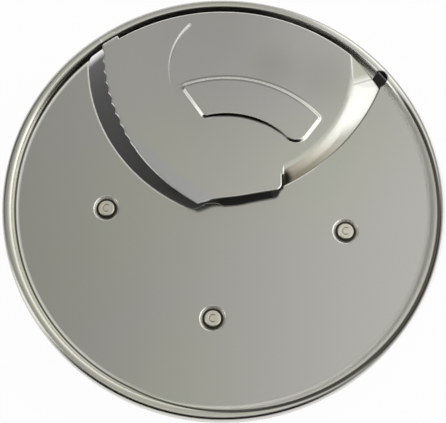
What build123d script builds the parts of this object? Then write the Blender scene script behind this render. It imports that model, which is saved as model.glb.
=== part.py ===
"""Slicing disc of a large food processor: a stamped steel disc, riveted to a moulded hub.

The frame stands on the hub's foot: +Z is up, the blade's lobe lies towards +Y, and the disc turns
counter-clockwise seen from above, so the cutting edge on the -X side leads. Sizes are millimetres.
"""
import os
from math import acos, atan2, cos, degrees, hypot, radians, sin, tan

from build123d import *

# The sheet, which the whole disc is stamped from, and the height of its upper face over the foot
SHEET = 1.0
PLATE_TOP = 21.0

# The rim: a raised round bead with a skirt outside it
DISC_RADIUS = 92.0
RIM_HEIGHT = 3.2
RIM_WIDTH = 3.7
RIM_RUN = 1.7
RIM_SKIRT = 2.6
FOOT_BEND = 1.3
BEAD_BEND = 1.85
BEND_STEPS = (2, 3, 4)
FOOT_UNDER_CHAMFER = 0.9
BEAD_UNDER_CHAMFER = 0.4
FLAT_DEPTH = 0.45
FLAT_WIDTH = 2.4
FLAT_START = 121.8
FLAT_END = 126.3

# The blade's lobe, a tongue of the sheet that is cut free and raised
LIFT = 6.0
LOBE_RADIUS = 84.4
SLIT = 0.7
BLADE_CENTRE = (31.3, 68.5)
BLADE_RADIUS = 83.1
INNER_EDGE = ((-12.6, -4.0), (-7.6, -2.45), (-4.4, -1.1), (6.3, 0.1), (24.5, 3.3), (24.5, 9.7))
INNER_EDGE_RADII = (4.0, 4.0, 20.0, 3.0)
TIP_WIDTH = 1.6
TIP_ROUND = 0.9
TIP_BEFORE = 5.037
TIP_PAST = 9.0
TIP_CLEARANCE = 1.2
THROAT_TIP_BEFORE = 10.866

# The ramp that carries the lobe: two arcs in plan, where the sheet leaves the plate and where it levels out
LOW_BEND_CENTRE = (-13.2, 85.1)
LOW_BEND_RADIUS = 87.8
HIGH_BEND_SHIFT = (12.0, -26.3)
HIGH_BEND_SHORTER = 30.8
RAMP_SLOPE = 50.0
HIGH_BEND_ROUND = 6.5
SEAM_AZIMUTH = 180.0
RAMP_END = 25.4

# The flat facet at the ramp's end by the rim: the fold where it leaves the lobe, and where it meets the plate
FACET_FOLD = ((55.4, 50.8), (55.0, 65.0))
FACET_FOOT = (68.0, 54.5)

# The opening in the plate: its leading side, its inner side and the round hole that ends the slit
THROAT_CENTRE = (15.2, 64.2)
THROAT_RADIUS = 73.4
THROAT_ROUND = 4.5
PLATE_EDGE = (
    (-16.0, -4.6), (-9.6, -2.75), (-6.9, -1.1), (-2.2, -1.0), (0.5, -2.35),
    (6.5, -1.9), (13.5, -0.3), (22.4, 1.5), (24.0, 4.5), (26.8, 6.6),
)
PLATE_EDGE_RADII = (2.0, 2.0, 1.5, 1.5, 10.0, 20.0, 1.2, 1.2)
RELIEF_RADIUS = 3.0
RELIEF_DISTANCE = 87.2
RELIEF_AZIMUTH = 38.9

# The ground edge: a bevel on the under face, and scallops along its outer part
EDGE_LEFT = 0.3
BEVEL_WIDTH = 3.6
SCALLOP_PITCH = 5.05
SCALLOP_DEPTH = 0.8
SCALLOP_COUNT = 10
SCALLOP_FADE = 4
SCALLOP_START = 183.3

# The raised arc and the crease that stiffen the lobe
ARC_CENTRE = (1.5, 0.0)
ARC_INNER = 35.7
ARC_OUTER = 53.6
ARC_HEIGHT = 1.0
ARC_DRAFT = 48.0
ARC_LEFT_END = ((-19.8, 51.3), (-6.4, 31.8))
ARC_RIGHT_END = ((44.0, 37.1), (30.3, 19.1))
ARC_CORNER = 2.4
ARC_LOW_CORNER = 6.0
CREASE_CENTRE = (5.9, 57.2)
CREASE_RADIUS = 28.9
CREASE_START = 133.0
CREASE_END = 196.0
CREASE_WIDTH = 1.5
CREASE_DEPTH = 0.36
CREASE_REACH = 0.4

# The three rivets: distance of each from the disc's axis, and its azimuth
LEFT_RIVET_DISTANCE = 48.7
LEFT_RIVET_AZIMUTH = 183.9
FRONT_RIVET_DISTANCE = 50.4
FRONT_RIVET_AZIMUTH = 265.4
RIGHT_RIVET_DISTANCE = 52.8
RIGHT_RIVET_AZIMUTH = 345.4
DIMPLE_RADIUS = 5.3
DIMPLE_DEPTH = 0.9
DIMPLE_DRAFT = 40.0
SHANK_RADIUS = 2.0
SHANK_CLEARANCE = 0.1
HEAD_RADIUS = 3.35
HEAD_HEIGHT = 1.15
HEAD_CHAMFER = 0.3
MARK_RADIUS = 1.5
MARK_WIDTH = 0.5
MARK_DEPTH = 0.2
MARK_GAP = 110.0
TAIL_RADIUS = 3.8
TAIL_HEIGHT = 1.2

# The moulded hub: a boss with the drive socket, and an arm to each rivet
BOSS_RADIUS = 18.0
SOCKET_RADIUS = 12.0
SOCKET_DEPTH = 15.0
SOCKET_CHAMFER = 0.8
LUG_DEPTH = 2.2
LUG_ANGLE = 24.0
LUG_COUNT = 3
FLANGE_RADIUS = 21.0
ARM_WIDTH = 15.0
ARM_THICK = 4.0
PAD_RADIUS = 8.0
WALL = 1.8
WALL_DROP = 4.2
RIB_COUNT = 6
RIB_DROP = 7.0
FOOT_CHAMFER = 0.8

PLATE_UNDER = PLATE_TOP - SHEET
LOBE_TOP = PLATE_TOP + LIFT
LOBE_UNDER = LOBE_TOP - SHEET
HUB_TOP = PLATE_UNDER - DIMPLE_DEPTH
ARM_UNDER = HUB_TOP - ARM_THICK
FAR = 4 * DISC_RADIUS


def polar(radius, azimuth):
    """Returns the plan point at a distance and an azimuth in degrees from the disc's axis."""
    return (radius * cos(radians(azimuth)), radius * sin(radians(azimuth)))


def disc_face(centre, radius):
    """Returns a filled circle in the plan."""
    return Location((*centre, 0)) * Circle(radius)


def prism(face, bottom, top):
    """Returns the upright solid of a plan face between two heights."""
    return extrude(Location((0, 0, bottom)) * face, amount=top - bottom, dir=(0, 0, 1))


def sector(outer, start, end):
    """Returns a filled pie slice of the plan about the disc's axis, for spans under a half turn."""
    middle = (start + end) / 2
    reach = outer / cos(radians((end - start) / 2))
    far_reach = reach / cos(radians((end - start) / 4))
    corners = [(0, 0), polar(reach, start), polar(far_reach, middle), polar(reach, end)]
    return make_face(Polyline(*corners, close=True)) & Circle(outer)


def above_edge(points, radii):
    """Returns the plan region on the +Y side of an edge that runs from -X to +X, with its corners rounded."""
    run = FilletPolyline(*points, radius=radii)
    first, last = Vector(*points[0]), Vector(*points[-1])
    start_way = (first - Vector(*points[1])).normalized()
    left = first + start_way * (DISC_RADIUS + first.X) / abs(start_way.X)
    right = Vector(DISC_RADIUS, last.Y)
    frame = Polyline(last, right, (DISC_RADIUS, FAR), (left.X, FAR), left, first)
    return make_face(run.edges() + frame.edges())


def bent_line(points, radii, steps):
    """Returns the corners of a line whose bends are short straight runs, so that they turn into cones."""
    smooth = FilletPolyline(*points, radius=radii)
    bends = smooth.edges().filter_by(GeomType.CIRCLE)
    corners = [points[0]]
    for bend, count in zip(bends, steps):
        run = [bend @ (index / count) for index in range(count + 1)]
        last = Vector(*corners[-1])
        if (run[-1] - last).length < (run[0] - last).length:
            run.reverse()
        corners += [(place.X, place.Y) for place in run]
    return [*corners, points[-1]]


def rimmed_plate():
    """Returns the round plate with its bead and skirt, turned from the section of its sheet."""
    crest = PLATE_TOP + RIM_HEIGHT
    bead = DISC_RADIUS - RIM_WIDTH
    skirt = PLATE_UNDER - RIM_SKIRT
    rise = [(0, PLATE_TOP), (bead - RIM_RUN, PLATE_TOP), (bead, crest)]
    top = [*rise, (DISC_RADIUS, crest), (DISC_RADIUS, skirt)]
    shift = SHEET * tan(atan2(RIM_HEIGHT, RIM_RUN) / 2)
    foot_corner = (bead - RIM_RUN + shift, PLATE_UNDER)
    bead_corners = [(bead + shift, crest - SHEET), (DISC_RADIUS - SHEET, crest - SHEET)]
    under = [(0, PLATE_UNDER), foot_corner, *bead_corners, (DISC_RADIUS - SHEET, skirt)]
    upper_line = bent_line(top, [FOOT_BEND, BEAD_BEND, BEAD_BEND], BEND_STEPS)
    section = make_face(Polyline(*upper_line, *reversed(under), close=True))
    section = chamfer(section.vertices().sort_by_distance((*foot_corner, 0))[0], FOOT_UNDER_CHAMFER)
    outer_corner = section.vertices().sort_by_distance((*bead_corners[-1], 0))[0]
    section = chamfer(outer_corner, BEAD_UNDER_CHAMFER)
    return revolve(Plane.XZ * section, axis=Axis.Z) - rim_flat(crest)


def rim_flat(crest):
    """Returns the cutter of the stretch where the bead is hammered flatter, beside the blade's tip."""
    middle = DISC_RADIUS - RIM_WIDTH / 2
    corners = [(middle, crest), (middle - FLAT_WIDTH, crest - FLAT_DEPTH), (middle - FLAT_WIDTH, crest)]
    profile = Plane.XZ * make_face(Polyline(*corners, close=True))
    return Rotation(0, 0, FLAT_START) * revolve(profile, axis=Axis.Z, revolution_arc=FLAT_END - FLAT_START)


def tip_azimuth(reach, centre, radius):
    """Returns the azimuth at which a circle about the disc's axis crosses the cutting side's circle."""
    offset = hypot(*centre)
    turn = acos((reach**2 + offset**2 - radius**2) / (2 * reach * offset))
    return degrees(atan2(centre[1], centre[0]) + turn)


def tip_sector(reach, azimuth, before):
    """Returns the small sector at the rim where the blade's tip reaches outward."""
    return sector(reach, azimuth - before, azimuth + TIP_PAST) - Circle(LOBE_RADIUS - SHEET)


def rounded_tip(outline, reach, azimuth, radius):
    """Returns an outline with its corner at the rim rounded, where the cutting edge meets its outer side."""
    corner = outline.vertices().sort_by_distance((*polar(reach, azimuth), 0))[0]
    return fillet(corner, radius)


def beyond_ramp_end():
    """Returns the plan region on the ramp's side of its inner end."""
    return Location((RAMP_END + FAR / 2, 0, 0)) * Rectangle(FAR, FAR)


def past_low_bend():
    """Returns the plan region that the low bend takes from the ramp's side."""
    return beyond_ramp_end() - disc_face(LOW_BEND_CENTRE, LOW_BEND_RADIUS)


def lobe_plan():
    """Returns the outline of the lobe and its ramp, as the blade, the rim and the low bend bound it."""
    reach = LOBE_RADIUS + TIP_WIDTH
    azimuth = tip_azimuth(reach, BLADE_CENTRE, BLADE_RADIUS)
    outline = Circle(LOBE_RADIUS) + tip_sector(reach, azimuth, TIP_BEFORE)
    outline = rounded_tip(outline & disc_face(BLADE_CENTRE, BLADE_RADIUS), reach, azimuth, TIP_ROUND)
    return outline - past_low_bend()


def throat_plan():
    """Returns the outline of the opening that is cut through the plate under the lobe."""
    slit_radius = LOBE_RADIUS + SLIT
    reach = LOBE_RADIUS + TIP_WIDTH + TIP_CLEARANCE
    azimuth = tip_azimuth(reach, THROAT_CENTRE, THROAT_RADIUS)
    outline = Circle(slit_radius) + tip_sector(reach, azimuth, THROAT_TIP_BEFORE)
    outline = rounded_tip(outline & disc_face(THROAT_CENTRE, THROAT_RADIUS), reach, azimuth, THROAT_ROUND)
    outline = (outline - past_low_bend()) & above_edge(PLATE_EDGE, PLATE_EDGE_RADII)
    return outline + disc_face(polar(RELIEF_DISTANCE, RELIEF_AZIMUTH), RELIEF_RADIUS)


def raised_form(inset, base, rounding):
    """Returns the form that a face of the ramp is pressed over: a leaning cone with a rounded upper edge."""
    low_x, low_y = LOW_BEND_CENTRE
    high_centre = (low_x + HIGH_BEND_SHIFT[0], low_y + HIGH_BEND_SHIFT[1], base + LIFT)
    turn = (0, 0, SEAM_AZIMUTH)
    low = Location((low_x, low_y, base), turn) * Circle(LOW_BEND_RADIUS - inset)
    high = Location(high_centre, turn) * Circle(LOW_BEND_RADIUS - HIGH_BEND_SHORTER - inset)
    form = loft([low, high], ruled=True)
    return fillet(form.edges().sort_by(Axis.Z)[-1], rounding)


def below_facet(drop):
    """Returns the space under the flat facet at the ramp's rim end, a distance below its upper face."""
    start = Vector(*FACET_FOLD[0], LOBE_TOP)
    along = Vector(*FACET_FOLD[1], LOBE_TOP) - start
    down = Vector(*FACET_FOOT, PLATE_TOP) - start
    plane = Plane(origin=start, x_dir=along, z_dir=down.cross(along)).offset(-drop)
    return plane * Box(FAR, FAR, FAR, align=(Align.CENTER, Align.CENTER, Align.MAX))


def ramp_sheet():
    """Returns the sloping sheet between the plate and the lobe, with the level sheet above it."""
    shift = SHEET * tan(radians(RAMP_SLOPE / 2))
    plan = lobe_plan() & beyond_ramp_end()
    upper = raised_form(0, PLATE_TOP, HIGH_BEND_ROUND) & below_facet(0)
    upper += prism(disc_face(LOW_BEND_CENTRE, LOW_BEND_RADIUS), PLATE_UNDER, PLATE_TOP)
    lower = raised_form(shift, PLATE_UNDER, HIGH_BEND_ROUND - SHEET) & below_facet(SHEET)
    return (upper & prism(plan, PLATE_UNDER, LOBE_TOP)) - lower


def arc_emboss(base):
    """Returns the raised arc as a drafted solid standing on a height."""
    left, right = ARC_LEFT_END, ARC_RIGHT_END
    wedge = make_face(Polyline(left[0], left[1], ARC_CENTRE, right[1], right[0], (0, FAR), close=True))
    band = (disc_face(ARC_CENTRE, ARC_OUTER) - disc_face(ARC_CENTRE, ARC_INNER)) & wedge
    band = fillet(band.vertices().sort_by(Axis.Y)[1:], ARC_CORNER)
    band = fillet(band.vertices().sort_by(Axis.Y)[0], ARC_LOW_CORNER)
    return extrude(Location((0, 0, base)) * band, amount=ARC_HEIGHT, taper=ARC_DRAFT)


def crease_groove():
    """Returns the cutter of the coined crease, a V along an arc that runs out at its lower end."""
    half = CREASE_WIDTH / 2 * (1 + CREASE_REACH / CREASE_DEPTH)
    corners = [(CREASE_RADIUS - half, CREASE_REACH), (CREASE_RADIUS, -CREASE_DEPTH)]
    corners.append((CREASE_RADIUS + half, CREASE_REACH))
    profile = Plane.XZ * make_face(Polyline(*corners, close=True))
    ring = revolve(profile, axis=Axis.Z, revolution_arc=CREASE_END - CREASE_START)
    start = Vector(*polar(CREASE_RADIUS, CREASE_START))
    run = Vector(*polar(CREASE_RADIUS, CREASE_END)) - start
    lean = degrees(atan2(CREASE_DEPTH, run.length))
    tilt_line = Axis((start.X, start.Y, 0), (run.Y, -run.X, 0))
    ring = (Rotation(0, 0, CREASE_START) * ring).rotate(tilt_line, lean)
    return Location((*CREASE_CENTRE, LOBE_TOP)) * ring


def bevel_cutter():
    """Returns the ring wedge that grinds the blade's under face up to its edge."""
    rise = SHEET - EDGE_LEFT
    past = BEVEL_WIDTH
    corners = [
        (BLADE_RADIUS - BEVEL_WIDTH, LOBE_UNDER),
        (BLADE_RADIUS + past, LOBE_UNDER + rise * (1 + past / BEVEL_WIDTH)),
        (BLADE_RADIUS + past, LOBE_UNDER - SHEET),
        (BLADE_RADIUS - BEVEL_WIDTH, LOBE_UNDER - SHEET),
    ]
    profile = Plane.XZ * make_face(Polyline(*corners, close=True))
    return Location((*BLADE_CENTRE, 0)) * revolve(profile, axis=Axis.Z)


def scallop_cutters():
    """Returns the round cutters of the serrated edge, shallower towards its inner end."""
    radius = (SCALLOP_PITCH**2 / 4 + SCALLOP_DEPTH**2) / (2 * SCALLOP_DEPTH)
    step = degrees(SCALLOP_PITCH / BLADE_RADIUS)
    cutters = []
    for index in range(SCALLOP_COUNT):
        left_to_end = SCALLOP_COUNT - index
        depth = SCALLOP_DEPTH * min(1, left_to_end / SCALLOP_FADE)
        x, y = polar(BLADE_RADIUS - depth + radius, SCALLOP_START + step * index)
        place = Location((BLADE_CENTRE[0] + x, BLADE_CENTRE[1] + y, LOBE_TOP - SHEET / 2))
        cutters.append(place * Cylinder(radius, 2 * SHEET))
    return cutters


def blade_lobe():
    """Returns the raised lobe: level sheet, ramp, stiffening arc, crease and ground edge."""
    level = (lobe_plan() - beyond_ramp_end()) & above_edge(INNER_EDGE, INNER_EDGE_RADII)
    lobe = prism(level, LOBE_UNDER, LOBE_TOP)
    lobe += ramp_sheet()
    lobe += arc_emboss(LOBE_TOP)
    lobe -= arc_emboss(LOBE_UNDER)
    lobe -= crease_groove()
    lobe -= bevel_cutter()
    for cutter in scallop_cutters():
        lobe -= cutter
    return lobe


def rivet_places():
    """Returns the plan point of each rivet by name."""
    return {
        "left": polar(LEFT_RIVET_DISTANCE, LEFT_RIVET_AZIMUTH),
        "front": polar(FRONT_RIVET_DISTANCE, FRONT_RIVET_AZIMUTH),
        "right": polar(RIGHT_RIVET_DISTANCE, RIGHT_RIVET_AZIMUTH),
    }


def dimple(centre):
    """Returns the pressed-down cup round a rivet, and the cutter of its hollow and hole."""
    run = DIMPLE_DEPTH * tan(radians(DIMPLE_DRAFT))
    floor = DIMPLE_RADIUS - run
    shift = SHEET * tan(radians((90 - DIMPLE_DRAFT) / 2))
    hanging = (Align.CENTER, Align.CENTER, Align.MAX)
    cup = Cone(floor + shift, DIMPLE_RADIUS + shift, DIMPLE_DEPTH, align=hanging)
    cup = Location((*centre, PLATE_UNDER)) * cup
    hollow = Location((*centre, PLATE_TOP)) * Cone(floor, DIMPLE_RADIUS, DIMPLE_DEPTH, align=hanging)
    hole_radius = SHANK_RADIUS + SHANK_CLEARANCE
    hole = prism(disc_face(centre, hole_radius), PLATE_UNDER - 2 * DIMPLE_DEPTH, PLATE_TOP)
    return cup, hollow + hole


def make_disc():
    """Returns the stamped disc as one piece of sheet."""
    disc = rimmed_plate() - prism(throat_plan(), PLATE_UNDER - RIM_SKIRT, LOBE_TOP)
    disc += blade_lobe()
    for centre in rivet_places().values():
        cup, hollow = dimple(centre)
        disc += cup
        disc -= hollow
    return disc


def arm_plan(centre, margin=0.0):
    """Returns the plan of one arm, from the boss to the round pad under its rivet."""
    length = hypot(*centre)
    turn = degrees(atan2(centre[1], centre[0]))
    bar = Location((length / 2, 0, 0)) * Rectangle(length, ARM_WIDTH - 2 * margin)
    pad = Location((length, 0, 0)) * Circle(PAD_RADIUS - margin)
    return Rotation(0, 0, turn) * (bar + pad)


def drive_socket():
    """Returns the cutter of the blind socket with its lug slots and lead-in."""
    cutter = Cylinder(SOCKET_RADIUS, SOCKET_DEPTH, align=(Align.CENTER, Align.CENTER, Align.MIN))
    lead = SOCKET_RADIUS + SOCKET_CHAMFER
    cutter += Cone(lead, SOCKET_RADIUS, SOCKET_CHAMFER, align=(Align.CENTER, Align.CENTER, Align.MIN))
    for index in range(LUG_COUNT):
        middle = 90 + 360 / LUG_COUNT * index
        slot = sector(SOCKET_RADIUS + LUG_DEPTH, middle - LUG_ANGLE / 2, middle + LUG_ANGLE / 2)
        cutter += prism(slot, 0, SOCKET_DEPTH)
    return cutter


def make_hub():
    """Returns the moulded hub: flange, boss and three walled arms with a hole in each pad."""
    hub = prism(Circle(FLANGE_RADIUS), ARM_UNDER, HUB_TOP)
    boss = prism(Circle(BOSS_RADIUS), 0, HUB_TOP)
    hub += chamfer(boss.edges().sort_by(Axis.Z)[0], FOOT_CHAMFER)
    for centre in rivet_places().values():
        hub += prism(arm_plan(centre), ARM_UNDER, HUB_TOP)
        wall = arm_plan(centre) - arm_plan(centre, WALL)
        wall -= Circle(BOSS_RADIUS - WALL)
        hub += prism(wall, ARM_UNDER - WALL_DROP, ARM_UNDER)
    for index in range(RIB_COUNT):
        azimuth = 30 + 360 / RIB_COUNT * index
        reach = Location((FLANGE_RADIUS / 2, 0, 0)) * Rectangle(FLANGE_RADIUS, WALL)
        hub += prism(Rotation(0, 0, azimuth) * reach, ARM_UNDER - RIB_DROP, ARM_UNDER)
    hub -= drive_socket()
    for centre in rivet_places().values():
        hole = disc_face(centre, SHANK_RADIUS + SHANK_CLEARANCE)
        hub -= prism(hole, ARM_UNDER - WALL_DROP, HUB_TOP)
    return hub


def make_rivet(centre):
    """Returns one rivet: tail under the hub's pad, shank, and the closed head in the dimple."""
    floor = PLATE_TOP - DIMPLE_DEPTH
    shank = Cylinder(SHANK_RADIUS, floor - ARM_UNDER, align=(Align.CENTER, Align.CENTER, Align.MIN))
    head = Location((0, 0, floor - ARM_UNDER)) * Cylinder(
        HEAD_RADIUS, HEAD_HEIGHT, align=(Align.CENTER, Align.CENTER, Align.MIN)
    )
    head = chamfer(head.edges().sort_by(Axis.Z)[-1], HEAD_CHAMFER)
    tail = Cylinder(TAIL_RADIUS, TAIL_HEIGHT, align=(Align.CENTER, Align.CENTER, Align.MAX))
    mark = Circle(MARK_RADIUS + MARK_WIDTH / 2) - Circle(MARK_RADIUS - MARK_WIDTH / 2)
    mark -= sector(2 * MARK_RADIUS, -MARK_GAP / 2, MARK_GAP / 2)
    top = floor - ARM_UNDER + HEAD_HEIGHT
    rivet = shank + head + tail - prism(mark, top - MARK_DEPTH, top)
    return Location((*centre, ARM_UNDER)) * rivet


def main():
    """Builds every piece and writes each one to its own file."""
    os.makedirs("parts", exist_ok=True)
    pieces = {"disc": make_disc(), "hub": make_hub()}
    for name, centre in rivet_places().items():
        pieces["rivet_" + name] = make_rivet(centre)
    for name, piece in pieces.items():
        export_step(piece, f"parts/{name}.step")
        box = piece.bounding_box()
        print(name, "solids", len(piece.solids()), "valid", piece.is_valid, "volume", round(piece.volume))
        print("    box", box)


main()
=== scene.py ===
# %% [markdown]
# # A food processor's slicing disc, lit as in a small product studio
#
# The real thing is one round sheet of stainless steel, stamped in a press. A round bead stiffens its rim, a
# tongue of the sheet is cut free and raised as the blade's lobe, and three rivets hold a moulded hub
# underneath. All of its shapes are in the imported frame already, so this file gives them their finishes:
# satin sheet with a ground edge, pressed rivets and moulded plastic. Then it lights them.

from math import cos, radians, sin

import bmesh
import bpy
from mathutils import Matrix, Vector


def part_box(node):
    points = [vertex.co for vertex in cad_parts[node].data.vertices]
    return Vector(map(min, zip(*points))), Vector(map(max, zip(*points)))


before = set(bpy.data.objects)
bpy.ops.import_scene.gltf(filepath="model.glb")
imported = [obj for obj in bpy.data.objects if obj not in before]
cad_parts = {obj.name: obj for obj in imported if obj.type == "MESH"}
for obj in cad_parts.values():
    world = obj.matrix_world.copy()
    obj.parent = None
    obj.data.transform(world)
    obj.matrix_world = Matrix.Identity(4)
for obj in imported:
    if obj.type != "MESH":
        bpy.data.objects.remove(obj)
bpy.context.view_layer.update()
print("nodes:", ", ".join(sorted(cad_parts)))

# %% [markdown]
# Blender works in metres and a maker thinks in millimetres, so every length below is written with `MM`.
# The heights come from the frame itself: the arc stamped on the lobe is the highest part of the disc, the
# lobe's top lies under it, and the plate lies under that by the lobe's lift.

# %% The heights of the sheet
MM = 0.001
SHEET = 1.0 * MM
ARC_HEIGHT = 1.0 * MM
LOBE_LIFT = 6.0 * MM
DISC_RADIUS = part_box("disc")[1][0]
LOBE_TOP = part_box("disc")[1][2] - ARC_HEIGHT
PLATE_TOP = LOBE_TOP - LOBE_LIFT
PLATE_UNDER = PLATE_TOP - SHEET
print("plate at", round(PLATE_TOP / MM, 2), "mm, lobe at", round(LOBE_TOP / MM, 2), "mm")

# %% [markdown]
# Shader maths is easier to read as maths. `Wire` holds one output socket and adds a node for each operator,
# so `1 - mask` is a Math node with its place worked out by itself. Vectors and colours go through Vector
# Math, because a Math node would turn them grey. Most finishes are painted with masks, which are 1 in one
# place and 0 elsewhere, so the three masks that are used most are here too: a step, a band between two
# limits and a line at one value.


# %% A wire that can be calculated with
class Wire:
    """One output socket, which +, -, * and / join to new nodes."""

    LINE_CORE = 0.35

    def __init__(self, recipe, socket):
        self.recipe = recipe
        self.socket = socket

    def join(self, operation, *others):
        parts = (self, *others)
        wide = any(isinstance(part, Wire) and part.socket.type in ("VECTOR", "RGBA") for part in parts)
        kind = "ShaderNodeVectorMath" if wide else "ShaderNodeMath"
        if wide:
            parts = [part if isinstance(part, (Wire, tuple)) else (part, part, part) for part in parts]
        return self.recipe.node(kind, {"operation": operation}, dict(enumerate(parts)))

    def __add__(self, other):
        return self.join("ADD", other)

    def __sub__(self, other):
        return self.join("SUBTRACT", other)

    def __mul__(self, other):
        return self.join("MULTIPLY", other)

    def __truediv__(self, other):
        return self.join("DIVIDE", other)

    def __rsub__(self, other):
        return (self * -1) + other

    __radd__ = __add__
    __rmul__ = __mul__

    def dot(self, other):
        wire = self.join("DOT_PRODUCT", other)
        return Wire(self.recipe, wire.socket.node.outputs["Value"])

    def step(self, start, end):
        """Returns 0 before start, 1 after end, and a smooth rise between them."""
        settings = {"interpolation_type": "SMOOTHSTEP"}
        return self.recipe.node("ShaderNodeMapRange", settings, {0: self, 1: start, 2: end, 3: 0.0, 4: 1.0})

    def between(self, low, high, soft):
        """Returns 1 between two limits and 0 outside them."""
        return self.step(low - soft, low + soft) * self.step(high + soft, high - soft)

    def line(self, middle, half_width):
        """Returns 1 at the middle and 0 beyond half a width from it."""
        beside = (self - middle).join("ABSOLUTE")
        return beside.step(half_width, half_width * self.LINE_CORE)


# %% [markdown]
# `Recipe` is a material while it is being written. Its one method `node` takes a node's type, its settings
# and its sockets, and the few helpers after it name what the finishes use again and again: the place on the
# object, noise, a mix of two colours, and the distance from an upright axis. `TINY` is added to a length that
# something is divided by, so that it is never zero.

# %% A recipe for a material
TINY = 1e-6


class Recipe:
    """The nodes of one material or world."""

    def __init__(self, owner):
        owner.use_nodes = True
        self.tree = owner.node_tree
        self.tree.nodes.clear()

    def node(self, kind, settings=None, sockets=None, output=0):
        made = self.tree.nodes.new(kind)
        for name, value in (settings or {}).items():
            setattr(made, name, value)
        for name, value in (sockets or {}).items():
            if isinstance(value, Wire):
                self.tree.links.new(value.socket, made.inputs[name])
            else:
                made.inputs[name].default_value = value
        return Wire(self, made.outputs[output]) if made.outputs else made

    def place(self):
        """Returns the place on the object in metres, which is the same in every view."""
        return self.node("ShaderNodeTexCoord", output="Object")

    def axes(self, vector):
        """Returns the x, y and z of a vector."""
        split = self.node("ShaderNodeSeparateXYZ", sockets={0: vector})
        outputs = split.socket.node.outputs
        return [Wire(self, outputs[index]) for index in range(3)]

    def noise(self, vector, scale, detail):
        """Returns cloudy noise between 0 and 1."""
        return self.node("ShaderNodeTexNoise", sockets={"Vector": vector, "Scale": scale, "Detail": detail})

    def colours(self, factor, first, second):
        """Returns a mix of two colours."""
        settings = {"data_type": "RGBA"}
        return self.node("ShaderNodeMix", settings, {0: factor, 6: first, 7: second}, output=2)

    def distance(self, x, y, centre):
        """Returns the distance in plan from an upright axis."""
        across, along = x - centre[0], y - centre[1]
        return (across * across + along * along).join("POWER", 0.5)


def rgb(red, green, blue):
    """Returns a colour as a socket takes it."""
    return (red, green, blue, 1.0)


# %% [markdown]
# A surface is a Principled shader with the sockets that the finish sets. Numbers that are the same all over
# go straight onto the socket, and only what changes over the surface is a wire. `dress` puts a finish on one
# of the frame's own pieces, whose shape stays as it is.


# %% A surface from its sockets
def surface(name, write):
    """Makes a material: write(recipe) returns the Principled shader's sockets."""
    material = bpy.data.materials.new(name)
    recipe = Recipe(material)
    shader = recipe.node("ShaderNodeBsdfPrincipled", sockets=write(recipe))
    recipe.node("ShaderNodeOutputMaterial", sockets={"Surface": shader})
    return material


def dress(node, material):
    """Gives a CAD node its finish."""
    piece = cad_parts[node]
    piece.data.materials.clear()
    piece.data.materials.append(material)
    print(node, "is", material.name, "with", len(piece.data.polygons), "faces")


# %% [markdown]
# ## The camera
#
# The photograph looks down steeply, from the side away from the lobe. The tilt and the focal length come from
# the outline of the rim, which is an ellipse in the picture.

# %% The camera
CAMERA_PLACE = (0.13 * MM, -153.62 * MM, 498.34 * MM)
CAMERA_TILT = 17.32
FOCAL_PIXELS = 1197.25
PICTURE_WIDTH = 446
camera_data = bpy.data.cameras.new("camera")
camera_data.sensor_width = 36.0
camera_data.lens = camera_data.sensor_width * FOCAL_PIXELS / PICTURE_WIDTH
camera_data.clip_start = 10 * MM
camera = bpy.data.objects.new("camera", camera_data)
camera.location = CAMERA_PLACE
camera.rotation_euler = (radians(CAMERA_TILT), 0, 0)
bpy.context.scene.collection.objects.link(camera)
bpy.context.scene.camera = camera
bpy.context.scene.view_settings.view_transform = "Standard"
print("focal length", round(camera_data.lens, 1), "mm")

# %% [markdown]
# ## The studio
#
# Polished steel has hardly a colour of its own: it shows the room. The photograph tells what stood round the
# disc. The level plate is grey, a little lighter at the right. Slopes that face right are white, so a large
# soft box stood there, with its spill on the wall beside it, and a narrow one at the left. A low one behind
# draws the light line round the stamped arc. Slopes that face the camera are black up to a bright edge
# overhead. Behind is a dim wall, and all round lies the white of the table. Lamps would each need their own
# shape, so one tent over the disc carries all of this as glowing cloth, painted by the direction from the
# disc. Directions are written as an azimuth in degrees from +X and a height above the horizon, and x, y and
# z are those of a step of length 1 in that direction.

# %% The tent's cloth
WARM = (0.985, 0.992, 0.96)
WALL_LEFT, WALL_RIGHT = 0.33, 0.45
CEILING_LEFT, CEILING_RIGHT = 0.37, 0.76
CEILING_LIFT = 0.03
MIDDLE_DIMMED, RIGHT_DIMMED = 0.32, 0.19
CORNER_LIGHT = 0.13
TABLE_LIGHT = 0.95
OVERHEAD_LIGHT = 0.9
SPILL_LIGHT = 1.15
BACK_LIGHT = 1.4
BOX_LIGHT = 1.7
FRONT_LIGHT = 0.012


def painted(cloth, mask, light):
    """Returns the cloth with one part of it painted in another light."""
    return cloth + (light - cloth) * mask


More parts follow.
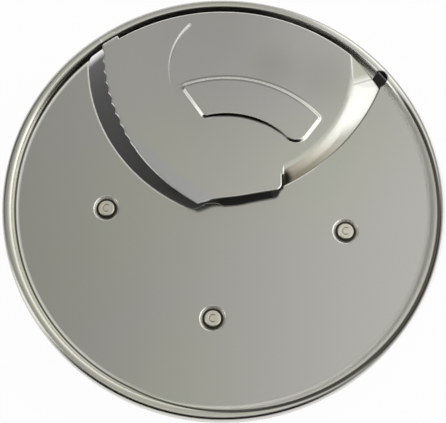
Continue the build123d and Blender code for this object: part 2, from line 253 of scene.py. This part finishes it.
def tent_light(recipe):
    """Returns how brightly the tent glows in each direction."""
    direction = recipe.node("ShaderNodeVectorMath", {"operation": "NORMALIZE"}, {0: recipe.place()})
    x, y, z = recipe.axes(direction)
    flat = (x * x + y * y + TINY).join("POWER", 0.5)

    def patch(azimuth, half_width, side_soft, low, high, soft):
        toward = (x * cos(radians(azimuth)) + y * sin(radians(azimuth))) / flat
        sides = toward.step(cos(radians(half_width + side_soft)), cos(radians(half_width - side_soft)))
        bottom = z.step(sin(radians(low - soft)), sin(radians(low + soft)))
        top = z.step(sin(radians(high + soft)), sin(radians(high - soft)))
        return sides * bottom * top

    dim_middle = x.step(-0.08, -0.03) * painted(MIDDLE_DIMMED, x.step(0, 0.1), RIGHT_DIMMED)
    ceiling = painted(CEILING_LEFT, x.step(-0.28, 0.28), CEILING_RIGHT)
    ceiling = ceiling * (1 - dim_middle * y.step(0.33, 0.42))
    ceiling = ceiling + CEILING_LIFT * y.step(0.28, 0.36) * x.step(-0.02, -0.08)
    cloth = painted(painted(WALL_LEFT, x.step(-0.6, 0.6), WALL_RIGHT), z.step(0.45, 0.88), ceiling)
    corner = patch(azimuth=144, half_width=18, side_soft=7, low=5, high=50, soft=6)
    overhead = patch(azimuth=248, half_width=50, side_soft=8, low=67, high=80, soft=4)
    spill = patch(azimuth=44, half_width=28, side_soft=10, low=12, high=56, soft=8)
    back = patch(azimuth=85, half_width=50, side_soft=12, low=10, high=25, soft=4)
    right_box = patch(azimuth=-9, half_width=27, side_soft=22, low=-20, high=62, soft=8)
    left_box = patch(azimuth=194, half_width=10, side_soft=5, low=3, high=56, soft=5)
    front = patch(azimuth=260, half_width=45, side_soft=5, low=-30, high=62, soft=4)
    cloth = painted(cloth, corner, CORNER_LIGHT)
    cloth = painted(cloth, z.step(0.16, 0.08), TABLE_LIGHT)
    cloth = painted(cloth, overhead, OVERHEAD_LIGHT)
    cloth = painted(cloth, spill, SPILL_LIGHT)
    cloth = painted(cloth, back, BACK_LIGHT)
    cloth = painted(cloth, right_box, BOX_LIGHT)
    cloth = painted(cloth, left_box, BOX_LIGHT)
    return painted(cloth, front, FRONT_LIGHT)


# %% [markdown]
# The tent itself is a large half sphere, so that its light comes from the same direction all over the disc.
# The camera doesn't see it, and it throws no shadow.

# %% The tent
TENT_RADIUS = 1.5
TENT_SEGMENTS, TENT_RINGS = 64, 32
TENT_HEM = -0.02


def make_tent():
    """Makes the half sphere over the disc and lights it."""
    shape = bmesh.new()
    bmesh.ops.create_uvsphere(shape, u_segments=TENT_SEGMENTS, v_segments=TENT_RINGS, radius=TENT_RADIUS)
    low = [vert for vert in shape.verts if vert.co.z < TENT_HEM]
    bmesh.ops.delete(shape, geom=low, context="VERTS")
    mesh = bpy.data.meshes.new("tent")
    shape.to_mesh(mesh)
    shape.free()
    tent = bpy.data.objects.new("tent", mesh)
    bpy.context.scene.collection.objects.link(tent)
    material = bpy.data.materials.new("glowing cloth")
    recipe = Recipe(material)
    scaled = {0: WARM, "Scale": tent_light(recipe)}
    colour = recipe.node("ShaderNodeVectorMath", {"operation": "SCALE"}, scaled)
    glow = recipe.node("ShaderNodeEmission", sockets={"Color": colour, "Strength": 1.0})
    recipe.node("ShaderNodeOutputMaterial", sockets={"Surface": glow})
    material.cycles.emission_sampling = "NONE"
    mesh.materials.append(material)
    tent.visible_camera = False
    tent.visible_shadow = False
    return tent


tent = make_tent()
print("tent of", len(tent.data.polygons), "faces")

# %% [markdown]
# The floor is white paper. Seen by the camera it shows as white, and it keeps the shadow that the disc
# throws.
# Under the disc a shadow is painted on the paper too. It lies a little to the back, as if the light came from
# over the camera, it is nearly dark, darkest by the small hole beside the ramp, and it turns white beyond its
# edge.

# %% The floor and the background
FLOOR_SIZE = 8.0
SHADE_CENTRE = (4 * MM, 7 * MM)
SHADE_START = DISC_RADIUS - 2.8 * MM
SHADE_END = DISC_RADIUS + 2.2 * MM
HOLE_SHADE = (66 * MM, 58 * MM)
HOLE_SHADE_START = 26 * MM
HOLE_SHADE_END = 18 * MM
PAPER = rgb(0.85, 0.85, 0.85)
# The paper's painted shadow under the disc and by the hole.
PAINTED_SHADOW_UNDER_DISC = rgb(0.31, 0.305, 0.315)
PAINTED_SHADOW_UNDER_HOLE = rgb(0.03, 0.03, 0.03)
WHITE = rgb(1, 1, 1)
WHITE_SHARE = 0.97
SKY_LIGHT = 0.6


def seen(recipe):
    """Returns 1 for the rays that show the background: camera, mirror and glass."""
    outputs = recipe.node("ShaderNodeLightPath").socket.node.outputs
    rays = [Wire(recipe, outputs[name]) for name in ("Is Camera Ray", "Is Glossy Ray", "Is Transmission Ray")]
    return rays[0].join("MAXIMUM", rays[1]).join("MAXIMUM", rays[2])


def make_floor():
    """Makes the white floor, with a painted shadow under the disc."""
    half = FLOOR_SIZE / 2
    mesh = bpy.data.meshes.new("floor")
    corners = [(-half, -half, 0), (half, -half, 0), (half, half, 0), (-half, half, 0)]
    mesh.from_pydata(corners, [], [(0, 1, 2, 3)])
    floor = bpy.data.objects.new("floor", mesh)
    bpy.context.scene.collection.objects.link(floor)
    material = bpy.data.materials.new("white paper")
    recipe = Recipe(material)
    x, y = recipe.axes(recipe.place())[:2]
    # The paper gets a painted shadow under the disc, darkest by the small hole and white beyond its edge.
    outside = recipe.distance(x, y, SHADE_CENTRE).step(SHADE_START, SHADE_END)
    by_hole = recipe.distance(x, y, HOLE_SHADE).step(HOLE_SHADE_START, HOLE_SHADE_END)
    painted_shadow = recipe.colours(by_hole, PAINTED_SHADOW_UNDER_DISC, PAINTED_SHADOW_UNDER_HOLE)
    shaded = recipe.colours(outside, painted_shadow, PAPER)
    paper = recipe.node("ShaderNodeBsdfDiffuse", sockets={"Color": shaded})
    white = recipe.node("ShaderNodeEmission", sockets={"Color": WHITE, "Strength": 1.0})
    share = seen(recipe) * outside * WHITE_SHARE
    mixed = recipe.node("ShaderNodeMixShader", sockets={0: share, 1: paper, 2: white})
    recipe.node("ShaderNodeOutputMaterial", sockets={"Surface": mixed})
    mesh.materials.append(material)


make_floor()
world = bpy.data.worlds.new("studio")
bpy.context.scene.world = world
sky = Recipe(world)
sky_strength = SKY_LIGHT + (1 - SKY_LIGHT) * seen(sky)
glow = sky.node("ShaderNodeBackground", sockets={"Color": WHITE, "Strength": sky_strength})
sky.node("ShaderNodeOutputWorld", sockets={"Surface": glow})
print("floor", FLOOR_SIZE, "m wide")

# %% [markdown]
# ## The stamped sheet
#
# Kitchen sheet is rolled bright and then brushed very finely, so it mirrors softly, in faint clouds where the
# press squeezed it. No stamped edge is really sharp: a Bevel node rounds each one for the light, which costs
# no faces. The painted highlights and the painted shade are masks, and each mask starts from the place on the
# sheet. `Spot` holds that place, and the three that are asked for again and again: how far it lies to the
# front right, where the bead is rolled closer to the edge, how far from a rivet, and whether it is on the
# ramp.

# %% A spot on the sheet
RIVET_NAMES = [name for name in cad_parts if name.startswith("rivet")]
RIVET_PLACES = [
    tuple((low + high) / 2 for low, high in zip(*(corner[:2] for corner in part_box(name))))
    for name in RIVET_NAMES
]
BEAD_OFF = -25
RIM_SIDE_SOFT = 8
RAMP_START = 25.4 * MM
RAMP_START_SOFT = 1 * MM
RAMP_BEND = 0.25 * MM
RAMP_BEND_SOFT = 0.15 * MM
RAMP_RIM_START, RAMP_RIM_END = 86 * MM, 84 * MM


class Spot:
    """The place on the sheet that is being coloured."""

    def __init__(self, recipe):
        self.recipe = recipe
        self.place = recipe.place()
        self.x, self.y, self.z = recipe.axes(self.place)
        self.radius = self.distance((0, 0))
        self.front_right = self.toward(BEAD_OFF).join("MAXIMUM", 0.0)
        ways = [self.distance(centre) for centre in RIVET_PLACES]
        self.to_rivet = ways[0].join("MINIMUM", ways[1]).join("MINIMUM", ways[2])
        sloping = self.z.between(PLATE_TOP + RAMP_BEND, LOBE_TOP - RAMP_BEND, RAMP_BEND_SOFT)
        self.past_ramp_start = self.x.step(RAMP_START - RAMP_START_SOFT, RAMP_START + RAMP_START_SOFT)
        self.ramp = sloping * self.past_ramp_start * self.radius.step(RAMP_RIM_START, RAMP_RIM_END)

    def distance(self, centre):
        """Returns the distance in plan from an upright axis."""
        return self.recipe.distance(self.x, self.y, centre)

    def toward(self, azimuth):
        """Returns the cosine of the angle between the way to this spot and an azimuth."""
        along = self.x * cos(radians(azimuth)) + self.y * sin(radians(azimuth))
        return along / (self.radius + TINY)

    def side(self, azimuth, half_width):
        """Returns 1 on the part of the rim that lies round one azimuth."""
        far, near = half_width + RIM_SIDE_SOFT, half_width - RIM_SIDE_SOFT
        return self.toward(azimuth).step(cos(radians(far)), cos(radians(near)))


print("rivets in mm:", [tuple(round(part / MM, 1) for part in place) for place in RIVET_PLACES])

# %% [markdown]
# Shade is painted along the rim: at the foot of the bead, in the deeper groove behind the lobe and under the
# lip. The dark line along the rim runs nearer to the edge at the front right, and the bead's inner slope is
# duller there, so both follow `front_right`.

# %% The rim's painted shade
RIM_FOOT_RADIUS = 86.7 * MM
BEAD_SHIFT = 3.5 * MM
FOOT_LINE = 0.6 * MM
GROOVE_INNER, GROOVE_OUTER, GROOVE_SOFT = 86.6 * MM, 88.6 * MM, 0.3 * MM
LIP_RADIUS = 91.1 * MM
LIP_LINE = 0.7 * MM
SLOPE_START, SLOPE_FULL = 85.5 * MM, 86.0 * MM
SLOPE_INSET, SLOPE_SOFT = 0.8 * MM, 0.3 * MM


def painted_shade_on_rim(spot):
    """Returns how much painted shade lies along the rim."""
    right = spot.front_right
    foot = spot.radius.line(RIM_FOOT_RADIUS + right * BEAD_SHIFT, FOOT_LINE + right * FOOT_LINE)
    foot = foot * (1 - spot.side(azimuth=44, half_width=9) * 0.9)
    groove = spot.radius.between(GROOVE_INNER, GROOVE_OUTER, GROOVE_SOFT)
    groove = groove * spot.side(azimuth=114, half_width=38)
    lip = spot.radius.line(LIP_RADIUS, LIP_LINE)
    return foot * 0.9 + groove * 0.75 + lip * (0.15 + right * 0.6)


def shaded_slope(spot):
    """Returns 1 on the bead's inner slope at the front right, which is less bright."""
    outer = RIM_FOOT_RADIUS + spot.front_right * BEAD_SHIFT - SLOPE_INSET
    slope = spot.radius.step(SLOPE_START, SLOPE_FULL) * (spot.radius - outer).step(SLOPE_SOFT, -SLOPE_SOFT)
    return slope * spot.front_right.step(0.15, 0.5)


print("the rim's foot is", round((DISC_RADIUS - RIM_FOOT_RADIUS) / MM, 1), "mm from the edge")

# %% [markdown]
# Within the rim, shade is painted in the crease at the foot of the ramp, in the corner where the ramp begins,
# along the fold between the ramp and the small facet at its end, and round the rivets' heads in their cups.

# %% The painted shade round the ramp and the rivets
LOW_BEND_CENTRE = (-13.2 * MM, 85.1 * MM)
LOW_BEND_RADIUS = 87.8 * MM
LOW_BEND_LINE = 0.45 * MM
RAMP_CORNER = (25.4 * MM, 8.5 * MM)
CORNER_START, CORNER_FULL = 4.8 * MM, 1.8 * MM
FACET_SLOPE = 0.5
FACET_LINE = 22.2 * MM
FACET_FOLD = 0.6 * MM
FACET_START, FACET_FULL = 40 * MM, 50 * MM
CUP_DEPTH = 0.9 * MM
CUP_FLOOR_START, CUP_FLOOR_FULL = 4.7 * MM, 4.2 * MM


def painted_shade_by_ramp(spot):
    """Returns how much painted shade lies round the ramp."""
    crease = spot.distance(LOW_BEND_CENTRE).line(LOW_BEND_RADIUS, LOW_BEND_LINE)
    crease = crease * spot.z.step(PLATE_TOP + 1.1 * MM, PLATE_TOP + 0.7 * MM) * spot.past_ramp_start
    crease = crease * (0.2 + 0.65 * spot.y.step(6 * MM, 26 * MM))
    corner = spot.distance(RAMP_CORNER).step(CORNER_START, CORNER_FULL) * spot.ramp
    facet_fold = (spot.y - spot.x * FACET_SLOPE).line(FACET_LINE, FACET_FOLD) * spot.ramp
    return crease + corner + facet_fold * spot.x.step(FACET_START, FACET_FULL) * 0.3


def painted_shade_in_cups(spot):
    """Returns how much painted shade lies round the rivets' heads."""
    low = spot.z.step(PLATE_TOP - 0.3 * CUP_DEPTH, PLATE_TOP - 0.6 * CUP_DEPTH)
    return low * spot.to_rivet.step(CUP_FLOOR_START, CUP_FLOOR_FULL) * 0.97


print("the cups are", round(CUP_DEPTH / MM, 1), "mm deep")

# %% [markdown]
# The stamped arc on the lobe has steep sides. Its front side is painted black with shade down to the foot
# and left clear at the right end, its left side is painted grey at the top, and two fine lines of painted
# shade follow its back bend.

# %% The painted shade along the stamped arc
ARC_CENTRE = (1.5 * MM, 0)
ARC_INNER = 35.7 * MM
ARC_OUTER = 53.6 * MM
ARC_FOOT_LINE = 0.5 * MM
ARC_BACK_LINE = 0.7 * MM
ARC_BACK_OUTSIDE, ARC_BACK_INSIDE = 0.45 * MM, 1.6 * MM


def painted_shade_on_arc(spot):
    """Returns how much painted shade lies along the stamped arc."""
    x, y, z = spot.x, spot.y, spot.z
    to_arc = spot.distance(ARC_CENTRE)
    on_top = z.step(LOBE_TOP - 0.1 * MM, LOBE_TOP - 0.05 * MM)
    on_sides = z.between(LOBE_TOP + 0.15 * ARC_HEIGHT, LOBE_TOP + 0.8 * ARC_HEIGHT, 0.08 * MM)
    front = to_arc.step(ARC_INNER + 3 * MM, ARC_INNER + 2 * MM) * on_sides
    foot = to_arc.line(ARC_INNER, ARC_FOOT_LINE) * x.between(-3 * MM, 19 * MM, 4 * MM) * on_top
    front = front.join("MAXIMUM", foot) * x.step(24 * MM, 12 * MM) * x.step(-6.6 * MM, -5.4 * MM)
    left = on_sides * x.step(-9 * MM, -14 * MM) * to_arc.step(ARC_OUTER, ARC_OUTER - 2 * MM)
    back = to_arc.line(ARC_OUTER + ARC_BACK_OUTSIDE, ARC_BACK_LINE)
    back = back + to_arc.line(ARC_OUTER - ARC_BACK_INSIDE, ARC_BACK_LINE)
    back = back * x.between(-17 * MM, 35 * MM, 4 * MM) * y.step(20 * MM, 30 * MM) * on_top
    return front * 0.8 + left * 0.4 + back * 0.35


print("the arc is", round((ARC_OUTER - ARC_INNER) / MM, 1), "mm wide")

# %% [markdown]
# Clean steel isn't one colour either. It is faintly green and faintly violet in wide patches, duller where
# hands hold the lobe, and bluer beside the ground cutting edge. The lobe is painted a little lighter, as
# painted light. The ramp is painted lighter and, towards its inner end, browner with painted shade, the facet
# at its end is painted darker and the rim's crest gets a painted highlight. Each of these is one mix over the
# colour before it.

# %% The clean steel's colours and the painted light on its slopes
GREENISH, VIOLET = rgb(0.618, 0.620, 0.552), rgb(0.618, 0.603, 0.582)
HANDLED = rgb(0.47, 0.46, 0.41)
GROUND = rgb(0.63, 0.64, 0.70)
# Painted light and shade on the ramp, painted shade on the facet and a painted highlight on the crest.
RAMP_PAINTED_LIGHT, RAMP_PAINTED_SHADE = rgb(0.70, 0.70, 0.68), rgb(0.31, 0.275, 0.22)
FACET_PAINTED_SHADE = rgb(0.34, 0.34, 0.28)
CREST_HIGHLIGHT = rgb(0.80, 0.78, 0.68)
DULL_PLACE, DULL_START = (44 * MM, 53 * MM), 20 * MM
DULL_MIDDLE, DULL_MIDDLE_START = (22 * MM, 58 * MM), 15 * MM
DULL_FULL = 2 * MM
# The lobe is painted this much lighter: painted light.
LOBE_PAINTED_LIGHT = 1.07
TINT_PATCHES = 14.0
BLADE_CENTRE = (31.3 * MM, 68.5 * MM)
BLADE_RADIUS = 83.1 * MM
GRINDING_WAVE = 6 * MM
CREST_RADIUS = 89.3 * MM
CREST_LINE = 1.3 * MM


def sheet_colour(spot, on_lobe):
    """Returns the colour of the clean sheet, with the lobe painted a little lighter."""
    recipe = spot.recipe
    tint = recipe.noise(spot.place, TINT_PATCHES, detail=1.0)
    plain = recipe.colours(tint.step(0.35, 0.65), GREENISH, VIOLET)
    dull = spot.distance(DULL_PLACE).step(DULL_START, DULL_FULL)
    dull = dull + spot.distance(DULL_MIDDLE).step(DULL_MIDDLE_START, DULL_FULL)
    dull = dull * spot.z.step(PLATE_TOP, LOBE_TOP)
    colour = recipe.colours(dull * 0.4, plain, HANDLED)
    # Painted light: the lobe is painted a little lighter than the plate.
    return recipe.colours(on_lobe, colour, colour * LOBE_PAINTED_LIGHT)


def ground_edge(spot, on_lobe, clouds):
    """Returns 1 beside the cutting edge, where it was ground."""
    to_edge = spot.distance(BLADE_CENTRE)
    wavy = to_edge + (clouds - 0.5) * GRINDING_WAVE
    wide = wavy.step(BLADE_RADIUS - 8 * MM, BLADE_RADIUS - 4.5 * MM) * spot.y.step(36 * MM, 14 * MM)
    narrow = to_edge.step(BLADE_RADIUS - 3.5 * MM, BLADE_RADIUS - 1.5 * MM) * 0.4
    return wide.join("MAXIMUM", narrow) * on_lobe


def painted_light_on_slopes(spot, colour):
    """Returns the colour with painted light and shade on the ramp, its facet and the rim's crest."""
    recipe = spot.recipe
    colour = recipe.colours(spot.ramp * 0.8, colour, RAMP_PAINTED_LIGHT)
    colour = recipe.colours(spot.ramp * spot.y.step(38 * MM, 10 * MM) * 0.9, colour, RAMP_PAINTED_SHADE)
    facet = (spot.y - spot.x * FACET_SLOPE).step(FACET_LINE - 0.5 * MM, FACET_LINE + 4 * MM)
    facet = facet * spot.ramp * spot.x.step(FACET_START, FACET_FULL)
    colour = recipe.colours(facet * 0.85, colour, FACET_PAINTED_SHADE)
    crest = spot.radius.line(CREST_RADIUS, CREST_LINE)
    crest = crest * spot.z.step(PLATE_TOP + 2.0 * MM, PLATE_TOP + 2.8 * MM)
    return recipe.colours(crest * 0.7, colour, CREST_HIGHLIGHT)


print("the cutting edge has a radius of", round(BLADE_RADIUS / MM, 1), "mm")

# %% [markdown]
# Painted highlights are nearly white. They lie on the bead beside the small hole, along the rim at the left,
# round the throat, on the sides of the cups and a little on the bead's inner slope at the front right. Every
# cut
# edge has a thin painted highlight too: the Bevel node's normal differs from the face's own only close to an
# edge, so their difference finds all of the edges at once.

# %% The painted highlights
THROAT_CENTRE = (15.2 * MM, 64.2 * MM)
THROAT_RADIUS = 73.4 * MM
THROAT_LINE = 0.5 * MM
BY_HOLE_INNER, BY_HOLE_OUTER, BY_HOLE_SOFT = 87.6 * MM, 90.9 * MM, 0.3 * MM
# The painted highlight along the rim at the left.
HIGHLIGHT_RADIUS, HIGHLIGHT_LINE = 85.65 * MM, 0.65 * MM
CUP_SIDE_START, CUP_SIDE_FULL = 6.5 * MM, 6 * MM


def cup_side(spot, deepest, highest):
    """Returns 1 between two parts of a cup's depth."""
    return spot.z.between(PLATE_TOP - deepest * CUP_DEPTH, PLATE_TOP - highest * CUP_DEPTH, 0.02 * MM)


def painted_edge_highlight(spot, rounded, on_lobe):
    """Returns the painted highlight on the cut edges, which is least on the blade and on the facet."""
    flat = spot.recipe.node("ShaderNodeNewGeometry", output="True Normal")
    edge = (1 - rounded.dot(flat)).step(0.004, 0.05) * spot.z.step(PLATE_UNDER, PLATE_TOP)
    on_facet = spot.x.step(40 * MM, 46 * MM) * spot.y.step(44 * MM, 50 * MM)
    on_blade = spot.distance(BLADE_CENTRE).step(BLADE_RADIUS - 2 * MM, BLADE_RADIUS - 1.5 * MM) * on_lobe
    return edge * (0.8 - 0.7 * on_facet - 0.55 * on_blade)


def painted_highlights(spot, rounded, on_lobe):
    """Returns how much painted highlight lies on the steel."""
    by_hole = spot.radius.between(BY_HOLE_INNER, BY_HOLE_OUTER, BY_HOLE_SOFT)
    by_hole = by_hole * spot.side(azimuth=46, half_width=14)
    left_rim = spot.radius.line(HIGHLIGHT_RADIUS, HIGHLIGHT_LINE) * spot.x.step(-20 * MM, -60 * MM)
    throat = spot.distance(THROAT_CENTRE).line(THROAT_RADIUS + 0.4 * MM, THROAT_LINE)
    throat = throat * spot.x.step(-13 * MM, -20 * MM) * spot.radius.step(86.5 * MM, 85.5 * MM)
    throat = throat * spot.z.step(PLATE_TOP + 0.5 * MM, PLATE_TOP + 0.3 * MM)
    cup = cup_side(spot, 0.75, 0.03) * spot.to_rivet.step(CUP_SIDE_START, CUP_SIDE_FULL)
    # Painted highlights, with some painted light on the bead's inner slope at the front right.
    bright = by_hole + left_rim + throat + cup + shaded_slope(spot) * 0.4
    return bright.join("MAXIMUM", painted_edge_highlight(spot, rounded, on_lobe))


print("the throat's edge has a radius of", round(THROAT_RADIUS / MM, 1), "mm")

# %% [markdown]
# Now the sheet's finish is one stack: clean steel, the ground edge, the painted light and shade on the ramp
# and the crest, the painted highlights, and the painted shade over all. The brushing is noise drawn out in
# one direction, and it makes the mirror a little soft. The ramp, the cups and the front of the rim are duller
# than the plate.

# %% The steel sheet
# The colour of the painted highlights.
HIGHLIGHT_STEEL = rgb(0.97, 0.96, 0.92)
# The colour of the painted shade.
PAINTED_SHADE = rgb(0.025, 0.022, 0.015)
CLOUDS = 28.0
BRUSHING = (2600.0, 160.0, 160.0)
SHEET_ROUGHNESS = 0.16
BEVEL_SAMPLES = 8
SHEET_ROUNDING = 0.8 * MM


def steel_sheet(recipe):
    """Returns the sockets of the satin sheet."""
    spot = Spot(recipe)
    on_lobe = spot.z.step(LOBE_TOP - 1.0 * MM, LOBE_TOP - 0.9 * MM)
    clouds = recipe.noise(spot.place, CLOUDS, detail=3.0)
    brushed = recipe.node("ShaderNodeMapping", sockets={"Vector": spot.place, "Scale": BRUSHING})
    grain = recipe.noise(brushed, 1.0, detail=2.0)
    rounded = recipe.node("ShaderNodeBevel", {"samples": BEVEL_SAMPLES}, {"Radius": SHEET_ROUNDING})
    colour = sheet_colour(spot, on_lobe)
    colour = recipe.colours(ground_edge(spot, on_lobe, clouds) * 0.48, colour, GROUND)
    colour = painted_light_on_slopes(spot, colour)
    # Painted highlights on the bead, the rim, the throat, the cups and every cut edge.
    colour = recipe.colours(painted_highlights(spot, rounded, on_lobe), colour, HIGHLIGHT_STEEL)
    # Painted shade in the creases, grooves, cups and along the stamped arc.
    shade_mask = painted_shade_on_rim(spot) + painted_shade_by_ramp(spot) + painted_shade_in_cups(spot) + painted_shade_on_arc(spot)
    dull = spot.ramp * 0.12 + cup_side(spot, 0.8, 0.05) * 0.3 + shaded_slope(spot) * 0.4
    bump = {"Strength": 0.03, "Distance": 0.02 * MM, "Height": grain, "Normal": rounded}
    return {
        "Base Color": recipe.colours(shade_mask, colour, PAINTED_SHADE),
        "Metallic": 1.0,
        "Roughness": SHEET_ROUGHNESS + 0.05 * clouds + 0.04 * grain + dull,
        "Normal": recipe.node("ShaderNodeBump", sockets=bump),
    }


dress("disc", surface("satin steel sheet", steel_sheet))

# %% [markdown]
# ## The rivets
#
# The rivets are a softer, warmer metal, pressed shut with a tool that leaves a matt face and a small open
# ring. The ring is sunk into the face, so its height finds it, and it is painted darker.

# %% The rivet metal
RIVET_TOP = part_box(RIVET_NAMES[0])[1][2]
RIVET_DARKER, RIVET_LIGHTER = rgb(0.74, 0.70, 0.60), rgb(0.84, 0.80, 0.70)
# The darker paint of the sunk ring.
RIVET_RING_DARK = rgb(0.16, 0.135, 0.10)
RIVET_ROUNDING = 0.3 * MM
RIVET_SPOTS = 700.0
RIVET_ROUGHNESS = 0.30


def rivet_metal(recipe):
    """Returns the sockets of the pressed rivets."""
    place = recipe.place()
    height = recipe.axes(place)[2]
    spots = recipe.noise(place, RIVET_SPOTS, detail=3.0)
    colour = recipe.colours(spots, RIVET_DARKER, RIVET_LIGHTER)
    # The sunk ring is painted darker.
    sunk = height.step(RIVET_TOP - 0.08 * MM, RIVET_TOP - 0.16 * MM)
    colour = recipe.colours(sunk * 0.5, colour, RIVET_RING_DARK)
    rounded = recipe.node("ShaderNodeBevel", {"samples": BEVEL_SAMPLES}, {"Radius": RIVET_ROUNDING})
    bump = {"Strength": 0.2, "Distance": 0.05 * MM, "Height": spots, "Normal": rounded}
    return {
        "Base Color": colour,
        "Metallic": 1.0,
        "Roughness": RIVET_ROUGHNESS + 0.12 * spots,
        "Normal": recipe.node("ShaderNodeBump", sockets=bump),
    }


rivet_finish = surface("pressed rivet metal", rivet_metal)
for name in RIVET_NAMES:
    dress(name, rivet_finish)

# %% [markdown]
# ## The hub
#
# The hub is moulded in dark plastic. The mould was spark eroded, which gives the plastic a fine even grain.
# Close under the slit in the sheet a shadow is painted on it in black, and the plastic is rougher there.

# %% The moulded plastic
PLASTIC_DARKER, PLASTIC_LIGHTER = rgb(0.098, 0.098, 0.094), rgb(0.122, 0.122, 0.116)
# The black of the painted shadow under the slit.
SHADOW_UNDER_SLIT = rgb(0.010, 0.010, 0.009)
PLASTIC_GRAIN = 2200.0
PLASTIC_WEAR = 60.0
PLASTIC_ROUGHNESS = 0.42


def moulded_plastic(recipe):
    """Returns the sockets of the hub's plastic."""
    place = recipe.place()
    across, _, height = recipe.axes(place)
    grain = recipe.noise(place, PLASTIC_GRAIN, detail=3.0)
    worn = recipe.noise(place, PLASTIC_WEAR, detail=4.0)
    colour = recipe.colours(worn, PLASTIC_DARKER, PLASTIC_LIGHTER)
    # Painted shadow under the slit: the plastic there is painted black and made rougher.
    slit_shadow = height.step(PLATE_UNDER - 4 * MM, PLATE_UNDER - 2 * MM) * across.step(-9 * MM, 0)
    bump = {"Strength": 0.35, "Distance": 0.05 * MM, "Height": grain}
    return {
        "Base Color": recipe.colours(slit_shadow * 0.9, colour, SHADOW_UNDER_SLIT),
        "Roughness": PLASTIC_ROUGHNESS + 0.16 * worn + 0.3 * slit_shadow,
        "Normal": recipe.node("ShaderNodeBump", sockets=bump),
    }


dress("hub", surface("moulded hub plastic", moulded_plastic))
